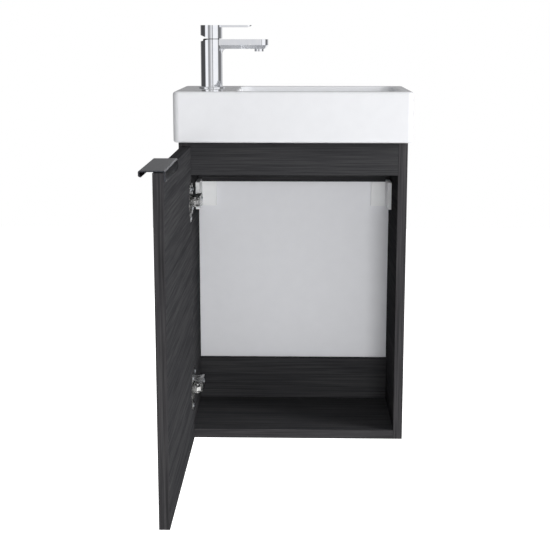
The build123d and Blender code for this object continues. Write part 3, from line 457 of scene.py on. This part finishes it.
set_material(glaze_material(), "basin")
print("basin glazed, orange peel", GLAZE_RELIEF * 1000, "mm deep")

# %% [markdown]
# ## Floor
# The real unit hangs on a wall and touches no floor, so the floor lies half a metre below it and
# takes only a faint shadow. A plain white sheet without a glow would do as well, but it would
# need far more light to look white. Its glow is for the camera, and dimmer for mirrors.

# %% Studio floor
FLOOR_DROP = 0.5
FLOOR_REACH = 5.0
FLOOR_GREY = (0.8, 0.8, 0.8, 1.0)
FLOOR_GLOW = 0.9
MIRRORED_SHARE = 0.55


def studio_floor(level):
    """One large plain square."""
    mesh = bpy.data.meshes.new("studio_floor")
    signs = ((-1, -1), (1, -1), (1, 1), (-1, 1))
    corners = [(x * FLOOR_REACH, y * FLOOR_REACH, level) for x, y in signs]
    mesh.from_pydata(corners, [], [(0, 1, 2, 3)])
    floor = bpy.data.objects.new("studio_floor", mesh)
    bpy.context.scene.collection.objects.link(floor)
    material, tree, shader = make_material("studio_floor_white", roughness=0.9)
    shader.inputs["Base Color"].default_value = FLOOR_GREY
    path = add(tree, "ShaderNodeLightPath").outputs
    mirrored = maths(tree, "MULTIPLY", path["Is Glossy Ray"], MIRRORED_SHARE)
    seen = maths(tree, "MAXIMUM", path["Is Camera Ray"], mirrored)
    glow = add(tree, "ShaderNodeEmission", {"Strength": maths(tree, "MULTIPLY", seen, FLOOR_GLOW)})
    total = add(tree, "ShaderNodeAddShader", {0: shader.outputs[0], 1: glow.outputs[0]})
    tree.links.new(total.outputs[0], tree.nodes["Material Output"].inputs["Surface"])
    mesh.materials.append(material)


studio_floor(cad_low[2] - FLOOR_DROP)
print("floor", FLOOR_DROP, "m below the unit")

# %% [markdown]
# ## Surroundings
# Polished metal shows what stands round it, which in a photo studio is white panels and dark gaps.
# Real panels could be built as planes, but they would stand in the way of views from other sides.
# So the world gives mirror rays a grey for each bearing, and one plain grey higher up. All other
# rays see a dim grey that is brighter above, and the camera alone sees white.

# %% World
AMBIENT_LEVEL = 0.1
AMBIENT_TOP = 0.5
AMBIENT_RISE = (0.1, 0.8)
PANELS_FADE = (0.12, 0.35)
UPWARD = 0.4
BLUE_CAST = 1.02
# Each panel stop is (bearing in degrees, grey): 0 is towards the camera, and + is to the right
PANELS = (
    (-180, 0.34), (-136, 0.2), (-126, 0.07), (-68, 0.08), (-62, 1.0), (-36, 1.0), (-30, 0.3),
    (-12, 0.4), (-4, 0.72), (10, 0.85), (13, 0.24), (17, 0.24), (21, 1.0), (74, 0.97),
    (82, 0.16), (124, 0.22), (136, 0.7), (165, 0.5), (180, 0.34),
)


def cool(grey):
    """A grey with a trace of blue."""
    return (grey, grey, grey * BLUE_CAST)


def graded_panels(tree):
    """What polished metal mirrors: grey by bearing near the horizon, and plain above."""
    way = add(tree, "ShaderNodeTexCoord").outputs["Generated"]
    parts = add(tree, "ShaderNodeSeparateXYZ", {0: way}).outputs
    turn = maths(tree, "ARCTAN2", parts["X"], maths(tree, "MULTIPLY", parts["Y"], -1.0))
    share = spread(tree, turn, (-math.pi, math.pi), FULL_SPAN)
    stops = [((bearing + 180) / 360, cool(grey)) for bearing, grey in PANELS]
    above = spread(tree, parts["Z"], PANELS_FADE, FULL_SPAN)
    return blend_colour(tree, above, colours(tree, share, stops), cool(UPWARD))


def studio_world():
    """Grey surroundings, graded for mirrors and white for the camera."""
    world = bpy.data.worlds.new("studio")
    world.use_nodes = True
    tree = world.node_tree
    tree.nodes.clear()
    path = add(tree, "ShaderNodeLightPath").outputs
    white = add(tree, "ShaderNodeBackground", {"Color": (1.0, 1.0, 1.0, 1.0)})
    way = add(tree, "ShaderNodeTexCoord").outputs["Generated"]
    rise = add(tree, "ShaderNodeSeparateXYZ", {0: way}).outputs["Z"]
    ambient = spread(tree, rise, AMBIENT_RISE, (AMBIENT_LEVEL, AMBIENT_TOP))
    grey = add(tree, "ShaderNodeBackground", {"Color": ambient})
    panels = add(tree, "ShaderNodeBackground", {"Color": graded_panels(tree)})
    sources = {0: path["Is Glossy Ray"], 1: grey.outputs[0], 2: panels.outputs[0]}
    lit = add(tree, "ShaderNodeMixShader", sources)
    sources = {0: path["Is Camera Ray"], 1: lit.outputs[0], 2: white.outputs[0]}
    shown = add(tree, "ShaderNodeMixShader", sources)
    add(tree, "ShaderNodeOutputWorld", {"Surface": shown.outputs[0]})
    bpy.context.scene.world = world


studio_world()
print("world:", len(PANELS), "panel stops, ambient grey from", AMBIENT_LEVEL, "to", AMBIENT_TOP)

# %% [markdown]
# ## Lights
# A broad soft key stands a little to the right of the camera and reaches into the cabinet. A fill
# on the right lights the open door's inner face, and a weak one behind keeps the unit readable
# from the rear. A single sun would be simpler, but its hard shadows aren't in the photo. Mirrors
# don't show the lamps, because the panels of the world stand for them there.

# %% Lamps
# Each lamp is (name, place in metres, width, height, watts)
LAMPS = (
    ("key", (0.46, -5.0, 0.55), 1.4, 1.2, 105.0),
    ("fill_right", (2.8, -1.2, 0.8), 1.0, 1.4, 82.0),
    ("rear", (-1.2, 3.0, 0.9), 1.4, 1.4, 34.0),
)


def soft_light(name, place_at, wide, high, watts, aim_at):
    """A rectangular lamp that faces a point."""
    lamp = bpy.data.lights.new(name, "AREA")
    lamp.shape = "RECTANGLE"
    lamp.size = wide
    lamp.size_y = high
    lamp.energy = watts
    holder = bpy.data.objects.new(name, lamp)
    bpy.context.scene.collection.objects.link(holder)
    away = np.array(place_at) - np.array(aim_at)
    tilt = math.atan2(np.hypot(away[0], away[1]), away[2])
    heading = math.atan2(away[0], -away[1])
    holder.location = place_at
    holder.rotation_euler = (tilt, 0.0, heading)
    holder.visible_glossy = False


middle = ((cad_low + cad_high) / 2).to_tuple()
for lamp_values in LAMPS:
    soft_light(*lamp_values, aim_at=middle)
bpy.context.scene.view_settings.view_transform = "Standard"
print("lamps:", [(name, watts) for name, _, _, _, watts in LAMPS])

# %% [markdown]
# ## Camera
# The lens, place and direction were solved from corners and edges that the photo shows. The
# camera stands 2.13 m in front of the wall, and looks down by 10.5 degrees and a little to the
# left. The photo's own camera is nearly level with a strong downward lens shift, which keeps
# upright edges upright. So strong a shift would push the unit out of views from other sides, so
# this one has a small shift and tilts instead, and upright edges lean slightly.

# %% Camera
LENS_MM = 75.301
SENSOR_MM = 36.0
LENS_SHIFT = -0.05
CAMERA_PLACE = (0.0144, -2.1338, 0.2888)
TILT_DOWN = 10.502
TURN_LEFT = 1.324
eye = bpy.data.cameras.new("camera")
eye.lens = LENS_MM
eye.sensor_width = SENSOR_MM
eye.shift_y = LENS_SHIFT
camera = bpy.data.objects.new("camera", eye)
camera.location = CAMERA_PLACE
camera.rotation_euler = (math.radians(90.0 - TILT_DOWN), 0.0, math.radians(TURN_LEFT))
bpy.context.scene.collection.objects.link(camera)
bpy.context.scene.camera = camera
print("camera at", CAMERA_PLACE, "with a lens of", LENS_MM, "mm")
